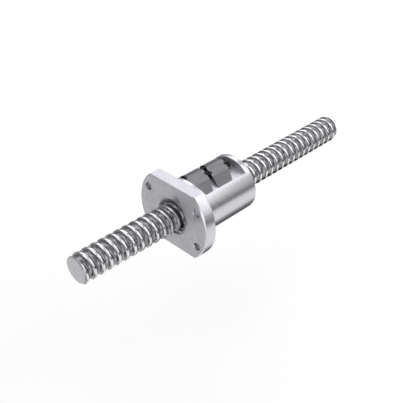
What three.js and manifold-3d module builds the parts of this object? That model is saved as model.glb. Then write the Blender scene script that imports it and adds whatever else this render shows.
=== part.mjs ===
// Ball screw assembly: a threaded shaft and a flanged ball nut with two external return circuits.
// Millimetres, +Z up. The screw axis is the X axis. The origin is the middle of the shaft on its axis.
// The flange end of the nut points to -X, and the milled pocket with the return covers is on top (+Z).
import * as THREE from "three";
import { mergeVertices } from "three/addons/utils/BufferGeometryUtils.js";
import Module from "manifold-3d";

const wasm = await Module();
wasm.setup();

// ---------- driving dimensions ----------
const LEAD = 10; // thread lead, right-hand, one start
const SCREW_LEN = 400;
const SCREW_R = 16; // outside radius of the thread lands
const SCREW_CHAMFER = 1.5;
const BALL_CIRCLE_R = 16.875; // radius of the ball centres
const GROOVE_R = 3.3; // radius of the round-bottomed thread groove
const THREAD_X0 = 2.25; // x of the groove centre at the angle 0 (on +Y)
const SEG = 12; // facets per turn of thread

const NUT_FRONT = -74; // flange front face
const NUT_LEN = 97;
const NUT_REAR = NUT_FRONT + NUT_LEN;
const FLANGE_T = 15;
const FLANGE_R = 51.5;
const FLANGE_FLAT = 39; // half of the width across the flange flats
const FLANGE_CHAMFER = 1.2;
const BODY_R = 33.5;
const BORE_R = 16.7;
const SEAL_BORE_R = 21;
const SEAL_BORE_DEPTH = 8.5;
const BOLT_CIRCLE_R = 42.5;
const BOLT_HOLE_R = 4.5;
const BOLT_ANGLES = [30, 150, 210, 330]; // degrees from +Y towards +Z

const FLOOR_Z = 23.8; // pocket floor
const POCKET_X0 = -45.5; // foot of the sloping front wall
const POCKET_LEAN = 4.5 / 9.7; // how far that wall leans forward for each mm up
const POCKET_X1 = 15.8; // upright rear wall

const CIRCUITS = [
  { name: "front", x: -35.25 },
  { name: "rear", x: -5.25 },
]; // x of the middle of each circuit
const TURNS = 1.5; // loaded turns of each circuit
const SKEW = (TURNS * LEAD) / (2 * BALL_CIRCLE_R); // x per y along the return tubes

const BEAD_R = 2.75; // ball rows are strings of slightly small balls joined at the contact points
const BALL_PITCH = 6.35;
const TUBE_R = 4;
const TUBE_BORE_R = 3.2;
const TUBE_TOP_Z = 24.7; // centre line of the level run
const TUBE_BEND_Z = 12;
const TUBE_END_Z = 10.5;

const COVER_HALF_W = 10.9; // half of the cover's width along the screw, at its feet
const COVER_TOP_HALF_W = 12.7; // the same at its top, which is wider
const COVER_FOOT_Y = 22;
const COVER_FOOT_Z = FLOOR_Z + 0.3;
const COVER_EDGE_Y = 10;
const COVER_TOP_Z = 30.4;
const COVER_T = 1.3;
const EAR_W = 7;
const EAR_REACH = 4.45; // cover edge to the centre of the screw
const EAR_RIGHT_Y = -1;
const EAR_LEFT_Y = 12.5;

// ---------- helpers ----------
const X = new THREE.Vector3(1, 0, 0),
  Y = new THREE.Vector3(0, 1, 0),
  Z = new THREE.Vector3(0, 0, 1);
const ALONG_X = new THREE.Matrix4().makeBasis(Y, Z, X); // shape (y, z), extruded along x
const ALONG_Y = new THREE.Matrix4().makeBasis(X, Z, Y.clone().negate()); // shape (x, z), extruded along -y
const rad = (d) => (d * Math.PI) / 180;

function toSolid(geometry) {
  const g = geometry.clone();
  for (const name of Object.keys(g.attributes))
    if (name !== "position") g.deleteAttribute(name);
  const m = mergeVertices(g, 1e-4);
  const index = new Uint32Array(m.index.array);
  const verts = m.attributes.position.array;
  const make = () =>
    new wasm.Manifold(
      new wasm.Mesh({ numProp: 3, vertProperties: verts, triVerts: index }),
    );
  let s = make();
  if (s.volume() < 0) {
    for (let i = 0; i < index.length; i += 3)
      [index[i + 1], index[i + 2]] = [index[i + 2], index[i + 1]];
    s = make();
  }
  return s;
}

function toGeometry(solid) {
  const m = solid.getMesh(),
    n = m.numProp,
    v = new Float32Array(m.numVert * 3);
  for (let i = 0; i < m.numVert; i++)
    v.set(m.vertProperties.subarray(i * n, i * n + 3), i * 3);
  const g = new THREE.BufferGeometry()
    .setAttribute("position", new THREE.BufferAttribute(v, 3))
    .setIndex(new THREE.BufferAttribute(new Uint32Array(m.triVerts), 1))
    .toNonIndexed();
  g.computeVertexNormals();
  return g;
}

const joined = (first, ...rest) => rest.reduce((a, b) => a.add(b), first);
const cut = (first, ...rest) => rest.reduce((a, b) => a.subtract(b), first);

// A solid turned about the X axis from a profile of [x, r] points.
function turned(profile, segments) {
  const pts = profile.map(([x, r]) => new THREE.Vector2(r, x));
  return toSolid(
    new THREE.LatheGeometry(pts, segments).rotateZ(-Math.PI / 2).rotateX(Math.PI),
  );
}

function ring(x0, x1, r0, r1, segments) {
  return turned(
    [
      [x0, r0],
      [x0, r1],
      [x1, r1],
      [x1, r0],
      [x0, r0],
    ],
    segments,
  );
}

function box(x0, x1, y0, y1, z0, z1, matrix) {
  const g = new THREE.BoxGeometry(x1 - x0, y1 - y0, z1 - z0).translate(
    (x0 + x1) / 2,
    (y0 + y1) / 2,
    (z0 + z1) / 2,
  );
  if (matrix) g.applyMatrix4(matrix);
  return toSolid(g);
}

// A vertical cylinder.
function post(x, y, z0, z1, r, segments) {
  return toSolid(
    new THREE.CylinderGeometry(r, r, z1 - z0, segments)
      .rotateX(Math.PI / 2)
      .translate(x, y, (z0 + z1) / 2),
  );
}

function extruded(points, depth, basis, matrix) {
  const shape = new THREE.Shape(points.map(([a, b]) => new THREE.Vector2(a, b)));
  const g = new THREE.ExtrudeGeometry(shape, {
    depth,
    bevelEnabled: false,
  })
    .translate(0, 0, -depth / 2)
    .applyMatrix4(basis);
  if (matrix) g.applyMatrix4(matrix);
  return toSolid(g);
}

// A closed band swept through rings of equal point count; each ring is a list of [x, y, z].
function sweptRings(rings) {
  const n = rings[0].length,
    v = [],
    f = [];
  rings.forEach((r) => r.forEach((p) => v.push(...p)));
  for (let i = 0; i + 1 < rings.length; i++)
    for (let k = 0; k < n; k++) {
      const a = i * n + k,
        b = i * n + ((k + 1) % n),
        c = a + n,
        d = b + n;
      f.push(a, b, d, a, d, c);
    }
  const last = (rings.length - 1) * n;
  for (let k = 1; k + 1 < n; k++)
    f.push(0, k + 1, k, last, last + k, last + k + 1);
  return new THREE.BufferGeometry()
    .setAttribute("position", new THREE.Float32BufferAttribute(v, 3))
    .setIndex(f);
}

// A helical cutter. The profile is a convex loop of [x, r] points about the groove centre.
function helicalCutter(profile, xStart, xEnd) {
  const first = Math.floor(((xStart - THREAD_X0) / LEAD) * SEG),
    last = Math.ceil(((xEnd - THREAD_X0) / LEAD) * SEG);
  const rings = [];
  for (let i = first; i <= last; i++) {
    const a = (2 * Math.PI * (((i % SEG) + SEG) % SEG)) / SEG,
      xc = THREAD_X0 + (LEAD * i) / SEG;
    rings.push(
      profile.map(([x, r]) => [xc + x, r * Math.cos(a), r * Math.sin(a)]),
    );
  }
  return toSolid(sweptRings(rings));
}

// ---------- screw shaft ----------
const half = SCREW_LEN / 2;
const shaftBlank = turned(
  [
    [-half, 0],
    [-half, SCREW_R - SCREW_CHAMFER],
    [-half + 2 * SCREW_CHAMFER, SCREW_R + SCREW_CHAMFER],
    [half - 2 * SCREW_CHAMFER, SCREW_R + SCREW_CHAMFER],
    [half, SCREW_R - SCREW_CHAMFER],
    [half, 0],
  ],
  24,
);
const gx = (deg) => GROOVE_R * Math.sin(rad(deg)),
  gr = (deg) => BALL_CIRCLE_R - GROOVE_R * Math.cos(rad(deg));
const grooveProfile = [
  [-gx(74.6), SCREW_R],
  [-gx(25), gr(25)],
  [gx(25), gr(25)],
  [gx(74.6), SCREW_R],
];

// A threaded rod with one helical groove, longer than the shaft, closed at each end by a cone to the axis.
function threadedRod(profile, xStart, xEnd) {
  const first = Math.floor(((xStart - THREAD_X0) / LEAD) * SEG),
    count = Math.ceil(((xEnd - xStart) / LEAD) * SEG) + SEG,
    n = profile.length,
    v = [],
    f = [];
  for (let i = 0; i <= count; i++) {
    const a = (2 * Math.PI * ((((first + i) % SEG) + SEG) % SEG)) / SEG,
      xc = THREAD_X0 + (LEAD * (first + i)) / SEG;
    profile.forEach(([x, r]) => v.push(xc + x, r * Math.cos(a), r * Math.sin(a)));
  }
  const at = (i, k) => i * n + k,
    quad = (a, b, c, d) => f.push(a, b, c, a, c, d);
  for (let i = 0; i < count; i++) {
    for (let k = 0; k + 1 < n; k++)
      quad(at(i, k), at(i, k + 1), at(i + 1, k + 1), at(i + 1, k));
    if (i + SEG < count)
      quad(at(i, n - 1), at(i + SEG, 0), at(i + SEG + 1, 0), at(i + 1, n - 1));
  }
  const loops = [[], []];
  for (let i = 0; i <= SEG; i++) loops[0].push(at(i, 0));
  for (let k = n - 1; k > 0; k--) loops[0].push(at(0, k));
  for (let i = count; i >= count - SEG; i--) loops[1].push(at(i, n - 1));
  for (let k = 0; k < n - 1; k++) loops[1].push(at(count, k));
  [xStart - 2 * LEAD, xEnd + 4 * LEAD].forEach((x, e) => {
    const tip = v.length / 3,
      loop = loops[e];
    v.push(x, 0, 0);
    loop.forEach((q, i) => f.push(tip, q, loop[(i + 1) % loop.length]));
  });
  return toSolid(
    new THREE.BufferGeometry()
      .setAttribute("position", new THREE.Float32BufferAttribute(v, 3))
      .setIndex(f),
  );
}
const screwShaft = threadedRod(grooveProfile, -half - 6, half + 6).intersect(shaftBlank);

// ---------- nut body ----------
const flangeBack = NUT_FRONT + FLANGE_T;
const nutBlank = turned(
  [
    [NUT_FRONT, 0],
    [NUT_FRONT, FLANGE_R - FLANGE_CHAMFER],
    [NUT_FRONT + FLANGE_CHAMFER, FLANGE_R],
    [flangeBack - FLANGE_CHAMFER, FLANGE_R],
    [flangeBack, FLANGE_R - FLANGE_CHAMFER],
    [flangeBack, BODY_R],
    [NUT_REAR - 1.2, BODY_R],
    [NUT_REAR, BODY_R - 1.2],
    [NUT_REAR, 0],
  ],
  48,
);
const sealBores = turned(
  [
    [NUT_FRONT - 1, 0],
    [NUT_FRONT - 1, SEAL_BORE_R + 1.8],
    [NUT_FRONT + 0.8, SEAL_BORE_R],
    [NUT_FRONT + SEAL_BORE_DEPTH, SEAL_BORE_R],
    [NUT_FRONT + SEAL_BORE_DEPTH, 10],
    [NUT_REAR - SEAL_BORE_DEPTH, 10],
    [NUT_REAR - SEAL_BORE_DEPTH, SEAL_BORE_R],
    [NUT_REAR - 0.8, SEAL_BORE_R],
    [NUT_REAR + 1, SEAL_BORE_R + 1.8],
    [NUT_REAR + 1, 0],
  ],
  32,
);
// The bore's facets line up with the thread's, and their middles are at the bore radius.
const mainBore = turned(
  [
    [NUT_FRONT + 1, 0],
    [NUT_FRONT + 1, BORE_R / Math.cos(Math.PI / SEG)],
    [NUT_REAR - 1, BORE_R / Math.cos(Math.PI / SEG)],
    [NUT_REAR - 1, 0],
  ],
  SEG,
);

const flats = [
  box(NUT_FRONT - 1, flangeBack, -60, 60, FLANGE_FLAT, 60),
  box(NUT_FRONT - 1, flangeBack, -60, 60, -60, -FLANGE_FLAT),
];

const boltHoles = BOLT_ANGLES.map((deg) => {
  const y = BOLT_CIRCLE_R * Math.cos(rad(deg)),
    z = BOLT_CIRCLE_R * Math.sin(rad(deg)),
    r = BOLT_HOLE_R,
    pts = [
      [NUT_FRONT - 1, 0],
      [NUT_FRONT - 1, r + 1.6],
      [NUT_FRONT + 0.6, r],
      [flangeBack - 0.6, r],
      [flangeBack + 1, r + 1.6],
      [flangeBack + 1, 0],
    ].map(([x, q]) => new THREE.Vector2(q, x));
  return toSolid(
    new THREE.LatheGeometry(pts, 20)
      .rotateZ(-Math.PI / 2)
      .translate(0, y, z),
  );
});

const topZ = 45;
const pocket = extruded(
  [
    [POCKET_X0, FLOOR_Z],
    [POCKET_X1, FLOOR_Z],
    [POCKET_X1, topZ],
    [POCKET_X0 - POCKET_LEAN * (topZ - FLOOR_Z), topZ],
  ],
  90,
  ALONG_Y,
);

// Centre line of a return tube, from the ball track on -Y over the nut to the track on +Y.
function returnPath(xc, z0) {
  const p = (y, z) => new THREE.Vector3(xc + SKEW * y, y, z),
    r = BALL_CIRCLE_R,
    path = new THREE.CurvePath();
  path.add(new THREE.LineCurve3(p(-r, z0), p(-r, TUBE_BEND_Z)));
  path.add(
    new THREE.QuadraticBezierCurve3(
      p(-r, TUBE_BEND_Z),
      p(-r, TUBE_TOP_Z),
      p(-4, TUBE_TOP_Z),
    ),
  );
  path.add(new THREE.LineCurve3(p(-4, TUBE_TOP_Z), p(4, TUBE_TOP_Z)));
  path.add(
    new THREE.QuadraticBezierCurve3(
      p(4, TUBE_TOP_Z),
      p(r, TUBE_TOP_Z),
      p(r, TUBE_BEND_Z),
    ),
  );
  path.add(new THREE.LineCurve3(p(r, TUBE_BEND_Z), p(r, z0)));
  return path;
}

// A round section swept along a path, with a bore when one is given.
function tubeAlong(path, r, bore, sides, steps) {
  const round = (q) =>
    Array.from({ length: sides }, (_, k) => {
      const a = (2 * Math.PI * k) / sides;
      return new THREE.Vector2(q * Math.cos(a), q * Math.sin(a));
    });
  const section = new THREE.Shape(round(r));
  if (bore) section.holes.push(new THREE.Path(round(bore).reverse()));
  return toSolid(
    new THREE.ExtrudeGeometry(section, {
      steps,
      bevelEnabled: false,
      extrudePath: path,
    }),
  );
}

// Sections square to the path, turned about the direction that is level and across the tube.
function ringsAlong(points, radii, sides) {
  const across = new THREE.Vector3(-1, SKEW, 0).normalize();
  return points.map((p, i) => {
    const t = new THREE.Vector3();
    if (i > 0) t.add(p.clone().sub(points[i - 1]).normalize());
    if (i + 1 < points.length) t.add(points[i + 1].clone().sub(p).normalize());
    t.normalize();
    const side = across.clone().addScaledVector(t, -across.dot(t)).normalize(),
      up = t.clone().cross(side),
      r = Array.isArray(radii) ? radii[i] : radii;
    return Array.from({ length: sides }, (_, k) => {
      const a = (2 * Math.PI * k) / sides,
        q = p
          .clone()
          .addScaledVector(side, r * Math.cos(a))
          .addScaledVector(up, r * Math.sin(a));
      return [q.x, q.y, q.z];
    });
  });
}

const tubeChannels = CIRCUITS.map((c) =>
  tubeAlong(returnPath(c.x, 1), TUBE_R + 0.55, 0, 8, 22),
);

const nutGroove = helicalCutter(
  [
    [-3.3, 15.6],
    [3.3, 15.6],
    [3.3, 17.6],
    [1.6, 20.9],
    [-1.6, 20.9],
    [-3.3, 17.6],
  ],
  CIRCUITS[0].x - 14,
  CIRCUITS[1].x + 14,
);

// Cover screws: one at the rear edge of each cover near the middle, one at its front edge on the far side.
const edgeX = (xc, sign, y) => xc + sign * COVER_HALF_W + SKEW * y;
const coverScrews = CIRCUITS.flatMap((c) => [
  {
    name: c.name + "_a",
    x: edgeX(c.x, 1, EAR_RIGHT_Y) + EAR_REACH,
    y: EAR_RIGHT_Y,
  },
  {
    name: c.name + "_b",
    x: edgeX(c.x, -1, EAR_LEFT_Y) - EAR_REACH,
    y: EAR_LEFT_Y,
  },
]);
const tappedHoles = coverScrews.map((s) =>
  post(s.x, s.y, 19.2, FLOOR_Z + 1, 1.95, 12),
);
const screwRelief = post(coverScrews[1].x, coverScrews[1].y, FLOOR_Z, 40, 4.3, 20);

const RETAINER_GROOVE_R = 22.6;
const retainerGrooves = [
  ring(NUT_FRONT + 1.1, NUT_FRONT + 2.9, SEAL_BORE_R - 2, RETAINER_GROOVE_R, 32),
  ring(NUT_REAR - 2.9, NUT_REAR - 1.1, SEAL_BORE_R - 2, RETAINER_GROOVE_R, 32),
];

const PORT_X = NUT_FRONT + 10.6; // lubrication port in the lower flat of the flange
const port = joined(
  post(PORT_X, 0, -FLANGE_FLAT - 1, -FLANGE_FLAT + 11, 3, 16),
  post(PORT_X, 0, -FLANGE_FLAT + 10, -15, 1.5, 10),
);

const nutBody = cut(
  nutBlank,
  sealBores,
  mainBore,
  ...flats,
  ...boltHoles,
  pocket,
  ...tubeChannels,
  nutGroove,
  ...tappedHoles,
  screwRelief,
  ...retainerGrooves,
  port,
);

// ---------- wipers, retaining rings, port plug ----------
const wiperFront = ring(NUT_FRONT + 3.1, NUT_FRONT + 8.1, 16.5, 20.6, 24);
const wiperRear = ring(NUT_REAR - 8.1, NUT_REAR - 3.1, 16.5, 20.6, 24);

// An open retaining ring with two lugs, each with an eye for pliers. The opening faces -Z.
function retainingRing(x) {
  const gap = rad(13),
    outer = 22.3,
    inner = 19.7,
    lug = 17.6,
    lugA = rad(27),
    from = -Math.PI / 2 + gap,
    to = (3 * Math.PI) / 2 - gap,
    pts = [];
  const at = (r, a) => pts.push([r * Math.cos(a), r * Math.sin(a)]);
  for (let i = 0; i <= 30; i++) at(outer, from + ((to - from) * i) / 30);
  at(lug, to);
  at(lug, to - (lugA - gap));
  for (let i = 0; i <= 26; i++)
    at(inner, to - lugA + gap - ((to - from - 2 * (lugA - gap)) * i) / 26);
  at(lug, from + (lugA - gap));
  at(lug, from);
  const body = extruded(pts, 1.2, ALONG_X).translate([x, 0, 0]);
  const eye = (a) =>
    toSolid(
      new THREE.CylinderGeometry(0.9, 0.9, 4, 8)
        .rotateZ(Math.PI / 2)
        .translate(x, 19.6 * Math.cos(a), 19.6 * Math.sin(a)),
    );
  return cut(body, eye(from + rad(7)), eye(to - rad(7)));
}

const hexSocket = (x, y, z0, z1, acrossFlats) =>
  post(x, y, z0, z1, acrossFlats / 2 / Math.cos(Math.PI / 6), 6);

const portPlug = cut(
  post(PORT_X, 0, -FLANGE_FLAT + 0.6, -FLANGE_FLAT + 7.6, 2.7, 16),
  hexSocket(PORT_X, 0, -FLANGE_FLAT, -FLANGE_FLAT + 3.6, 3),
);

// ---------- return tubes and ball rows ----------
const returnTubes = CIRCUITS.map((c) =>
  tubeAlong(
    returnPath(c.x, TUBE_END_Z),
    TUBE_R,
    TUBE_BORE_R / Math.cos(Math.PI / 8),
    8,
    20,
  ),
);

// A string of balls along a curve: two full-width stations to each ball and a narrow neck between balls.
function beadStations(pointAt, length, count) {
  const pts = [],
    radii = [],
    pitch = length / count;
  for (let i = 0; i < count; i++) {
    const s = (i + 0.5) * pitch;
    if (i === 0) {
      pts.push(pointAt(s - BEAD_R));
      radii.push(0.9);
    }
    pts.push(pointAt(s - 1.35), pointAt(s + 1.35));
    radii.push(BEAD_R, BEAD_R);
    pts.push(pointAt(i + 1 < count ? s + pitch / 2 : s + BEAD_R));
    radii.push(0.9);
  }
  return { pts, radii };
}

const turnLength = Math.hypot(2 * Math.PI * BALL_CIRCLE_R, LEAD);
const loadedRows = CIRCUITS.map((c) => {
  const x0 = c.x - (TURNS * LEAD) / 2,
    length = TURNS * turnLength - 4,
    count = Math.floor((TURNS * turnLength - 4) / BALL_PITCH),
    pointAt = (s) => {
      const t = (s + 2) / turnLength,
        a = Math.PI + 2 * Math.PI * t;
      return new THREE.Vector3(
        x0 + LEAD * t,
        BALL_CIRCLE_R * Math.cos(a),
        BALL_CIRCLE_R * Math.sin(a),
      );
    };
  const { pts, radii } = beadStations(pointAt, length, count);
  return toSolid(sweptRings(ringsAlong(pts, radii, 6)));
});
const returnRows = CIRCUITS.map((c) => {
  const path = returnPath(c.x, 2.4),
    length = path.getLength(),
    count = Math.floor(length / BALL_PITCH);
  path.curves.forEach((q) => (q.arcLengthDivisions = 400));
  const { pts, radii } = beadStations(
    (s) => path.getPointAt(Math.min(1, Math.max(0, s / length))),
    length,
    count,
  );
  return toSolid(sweptRings(ringsAlong(pts, radii, 6)));
});

// ---------- return covers ----------
// Bent sheet with a level top and two sloping sides, open at both ends, skewed to follow the tube.
function coverShell(xc) {
  const skewed = new THREE.Matrix4().set(
    1, SKEW, 0, xc,
    0, 1, 0, 0,
    0, 0, 1, 0,
    0, 0, 0, 1,
  );
  const slope = Math.atan2(COVER_TOP_Z - COVER_FOOT_Z, COVER_FOOT_Y - COVER_EDGE_Y),
    footIn = COVER_FOOT_Y - COVER_T / Math.sin(slope),
    edgeIn = COVER_EDGE_Y - COVER_T * Math.tan(slope / 2),
    topIn = COVER_TOP_Z - COVER_T,
    below = 3;
  const outline = [
    [-COVER_FOOT_Y, COVER_FOOT_Z],
    [COVER_FOOT_Y, COVER_FOOT_Z],
    [COVER_EDGE_Y, COVER_TOP_Z],
    [-COVER_EDGE_Y, COVER_TOP_Z],
  ];
  const inside = [
    [-footIn - below / Math.tan(slope), COVER_FOOT_Z - below],
    [footIn + below / Math.tan(slope), COVER_FOOT_Z - below],
    [edgeIn, topIn],
    [-edgeIn, topIn],
  ];
  const flare = (COVER_TOP_HALF_W - COVER_HALF_W) / (COVER_TOP_Z - COVER_FOOT_Z),
    edgeAt = (z) => COVER_HALF_W + flare * (z - COVER_FOOT_Z);
  let shell = cut(
    extruded(outline, 2 * COVER_TOP_HALF_W, ALONG_X, skewed),
    extruded(inside, 2 * COVER_TOP_HALF_W + 4, ALONG_X, skewed),
    ...[1, -1].map((sign) =>
      extruded(
        [
          [sign * edgeAt(20), 20],
          [sign * edgeAt(36), 36],
          [sign * 20, 36],
          [sign * 20, 20],
        ],
        60,
        ALONG_Y,
        skewed,
      ),
    ),
  );
  // Room for the neighbouring screw heads.
  coverScrews.forEach((s) => {
    shell = shell.subtract(post(s.x, s.y, FLOOR_Z, 40, 4.3, 16));
  });
  // Ears: a strap bent down from the open edge and a foot with the screw hole.
  const envelope = extruded(outline, 2 * COVER_HALF_W + 20, ALONG_X, skewed);
  [
    [1, EAR_RIGHT_Y],
    [-1, EAR_LEFT_Y],
  ].forEach(([sign, y]) => {
    const e = sign * COVER_HALF_W,
      lo = Math.min(e, e - sign * COVER_T),
      hi = Math.max(e, e - sign * COVER_T),
      far = e + sign * (EAR_REACH + 3.6),
      y0 = y - EAR_W / 2,
      y1 = y + EAR_W / 2;
    const strap = box(lo, hi, y0, y1, COVER_FOOT_Z, 40, skewed).intersect(envelope);
    const foot = box(
      Math.min(far, e - sign * COVER_T),
      Math.max(far, e - sign * COVER_T),
      y0,
      y1,
      COVER_FOOT_Z,
      COVER_FOOT_Z + COVER_T,
      skewed,
    );
    shell = joined(shell, strap, foot);
  });
  coverScrews.forEach((s) => {
    shell = shell.subtract(post(s.x, s.y, FLOOR_Z - 1, FLOOR_Z + 3, 2.1, 12));
  });
  return shell;
}
const reliefClear = post(coverScrews[1].x, coverScrews[1].y, FLOOR_Z - 1, 40, 4.0, 16);
const wallAll = extruded(
  [
    [POCKET_X0 + 0.6 + POCKET_LEAN * 6, FLOOR_Z - 6],
    [POCKET_X0 + 0.6 - POCKET_LEAN * 20, FLOOR_Z + 20],
    [-90, FLOOR_Z + 20],
    [-90, FLOOR_Z - 6],
  ],
  90,
  ALONG_Y,
);
const covers = CIRCUITS.map((c) => cut(coverShell(c.x), cut(wallAll, reliefClear)));

// ---------- cover screws and washers ----------
const washerZ = COVER_FOOT_Z + COVER_T + 0.3;
const washerT = 0.9;
const headZ = washerZ + washerT + 0.3;
function capScrew({ x, y }) {
  return cut(
    joined(
      post(x, y, headZ, headZ + 3.6, 3.5, 16),
      post(x, y, 19.5, headZ + 0.5, 1.65, 12),
    ),
    hexSocket(x, y, headZ + 1.6, headZ + 5, 3),
  );
}
function lockWasher({ x, y }) {
  return cut(
    post(x, y, washerZ, washerZ + washerT, 3.4, 12),
    post(x, y, washerZ - 1, washerZ + 2, 2.1, 12),
  );
}

// ---------- scene ----------
const steel = (color, roughness) =>
  new THREE.MeshStandardMaterial({ color, roughness, metalness: 1 });
const group = new THREE.Group();
function add(name, solid, material) {
  const mesh = new THREE.Mesh(toGeometry(solid), material);
  mesh.name = name;
  group.add(mesh);
}

add("screw_shaft", screwShaft, steel(0x8f9094, 0.32));
add("nut_body", nutBody, steel(0xb4b4ba, 0.42));
add("wiper_seal_front", wiperFront, new THREE.MeshStandardMaterial({ color: 0xe6e4dc, roughness: 0.5, metalness: 0 }));
add("wiper_seal_rear", wiperRear, new THREE.MeshStandardMaterial({ color: 0xe6e4dc, roughness: 0.5, metalness: 0 }));
add("wiper_retaining_ring_front", retainingRing(NUT_FRONT + 2), steel(0x707176, 0.35));
add("wiper_retaining_ring_rear", retainingRing(NUT_REAR - 2), steel(0x707176, 0.35));
add("lube_port_plug", portPlug, steel(0x3a3a3d, 0.45));
CIRCUITS.forEach((c, i) => {
  add("return_tube_" + c.name, returnTubes[i], steel(0xc8c8cc, 0.25));
  add("return_cover_" + c.name, covers[i], steel(0x77787c, 0.5));
  add("ball_row_" + c.name + "_loaded", loadedRows[i], steel(0xd0d2d6, 0.1));
  add("ball_row_" + c.name + "_return", returnRows[i], steel(0xd0d2d6, 0.1));
});
coverScrews.forEach((s) => {
  add("cover_screw_" + s.name, capScrew(s), steel(0x2a2a2d, 0.5));
  add("cover_washer_" + s.name, lockWasher(s), steel(0x55565a, 0.45));
});

export default group;
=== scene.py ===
import math
import bpy
import bmesh
from mathutils import Vector, Matrix


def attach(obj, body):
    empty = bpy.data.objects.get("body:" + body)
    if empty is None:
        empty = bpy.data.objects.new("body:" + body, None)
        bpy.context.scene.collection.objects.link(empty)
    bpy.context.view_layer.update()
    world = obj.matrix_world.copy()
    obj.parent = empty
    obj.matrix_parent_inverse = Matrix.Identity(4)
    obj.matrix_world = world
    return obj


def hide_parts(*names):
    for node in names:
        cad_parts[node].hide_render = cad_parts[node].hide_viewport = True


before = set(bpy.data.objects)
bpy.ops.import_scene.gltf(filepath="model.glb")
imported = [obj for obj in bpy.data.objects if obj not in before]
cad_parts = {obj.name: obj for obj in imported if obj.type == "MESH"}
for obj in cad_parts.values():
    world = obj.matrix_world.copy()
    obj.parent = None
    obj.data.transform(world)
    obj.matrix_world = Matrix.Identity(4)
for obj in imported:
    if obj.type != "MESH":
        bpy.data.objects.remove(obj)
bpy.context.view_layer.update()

MM = 0.001

# ---------------------------------------------------------------- dimensions (mm, as in the CAD part)
LEAD, SCREW_LEN, SCREW_R, BALL_R_C, GROOVE_R, THREAD_X0 = 10.0, 400.0, 16.0, 16.875, 3.3, 2.25
NUT_FRONT, NUT_LEN, FLANGE_T, FLANGE_R, FLANGE_FLAT, BODY_R = -74.0, 97.0, 15.0, 51.5, 39.0, 33.5
NUT_REAR = NUT_FRONT + NUT_LEN
FLANGE_BACK = NUT_FRONT + FLANGE_T
BORE_R, SEAL_BORE_R, SEAL_DEPTH = 16.7, 21.0, 8.5
FLOOR_Z, POCKET_X0, POCKET_X1, LEAN = 23.8, -45.5, 15.8, 4.5 / 9.7
CIRCUITS = [("front", -35.25), ("rear", -5.25)]
TURNS = 1.5
SKEW = TURNS * LEAD / (2 * BALL_R_C)
TUBE_R, TUBE_BORE, TUBE_TOP, TUBE_BEND, TUBE_END = 4.0, 3.2, 24.7, 12.0, 10.5
COVER_HALF, COVER_TOP_HALF, FOOT_Y, FOOT_Z, EDGE_Y, TOP_Z, SHEET = 10.9, 12.7, 22.0, 24.1, 10.0, 30.4, 1.3
EAR_W, EAR_REACH = 7.0, 4.45
BALL_R = 3.17
EARS = [(1, -1.0), (-1, 12.5)]
SCREWS = []
for cname, cx in CIRCUITS:
    for tag, (sg, ey) in zip("ab", EARS):
        SCREWS.append((cname + "_" + tag, cx + sg * COVER_HALF + SKEW * ey + sg * EAR_REACH, ey))
PORT_X = NUT_FRONT + 10.6


# ---------------------------------------------------------------- mesh helpers
def mesh_obj(name, verts, faces, mats=(), face_mats=None):
    me = bpy.data.meshes.new(name)
    me.from_pydata([(x * MM, y * MM, z * MM) for x, y, z in verts], [], faces)
    for m in mats:
        me.materials.append(m)
    if face_mats:
        me.polygons.foreach_set("material_index", face_mats)
    me.update()
    ob = bpy.data.objects.new(name, me)
    bpy.context.scene.collection.objects.link(ob)
    bm = bmesh.new()
    bm.from_mesh(me)
    bmesh.ops.recalc_face_normals(bm, faces=bm.faces)
    bm.to_mesh(me)
    bm.free()
    return ob


def boolean(ob, op, cutters, solver="MANIFOLD"):
    for c in cutters:
        m = ob.modifiers.new("b", "BOOLEAN")
        m.operation = op
        m.object = c
        m.solver = solver
    bpy.context.view_layer.update()
    dg = bpy.context.evaluated_depsgraph_get()
    me = bpy.data.meshes.new_from_object(ob.evaluated_get(dg))
    old = ob.data
    ob.modifiers.clear()
    ob.data = me
    me.name = ob.name
    bpy.data.meshes.remove(old)
    for c in cutters:
        cm = c.data
        bpy.data.objects.remove(c)
        bpy.data.meshes.remove(cm)
    return ob


def tidy(ob, angle=32.0, weld=0.004):
    """Weld slivers left by the cuts, and shade smooth between sharp edges."""
    me = ob.data
    bm = bmesh.new()
    bm.from_mesh(me)
    bmesh.ops.remove_doubles(bm, verts=bm.verts, dist=weld * MM)
    bmesh.ops.dissolve_degenerate(bm, edges=bm.edges, dist=0.001 * MM)
    bm.to_mesh(me)
    bm.free()
    for p in me.polygons:
        p.use_smooth = True
    me.set_sharp_from_angle(angle=math.radians(angle))
    me.update()
    return ob


def paint(ob, *mats):
    ob.data.materials.clear()
    for m in mats:
        ob.data.materials.append(m)
    ob.data.polygons.foreach_set("material_index", [0] * len(ob.data.polygons))


def bevel(ob, width, segments=2, angle=32.0):
    m = ob.modifiers.new("edge", "BEVEL")
    m.width = width * MM
    m.segments = segments
    m.limit_method = "ANGLE"
    m.angle_limit = math.radians(angle)
    m.use_clamp_overlap = True
    m.harden_normals = False
    m.miter_outer = "MITER_ARC"
    return m


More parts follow.
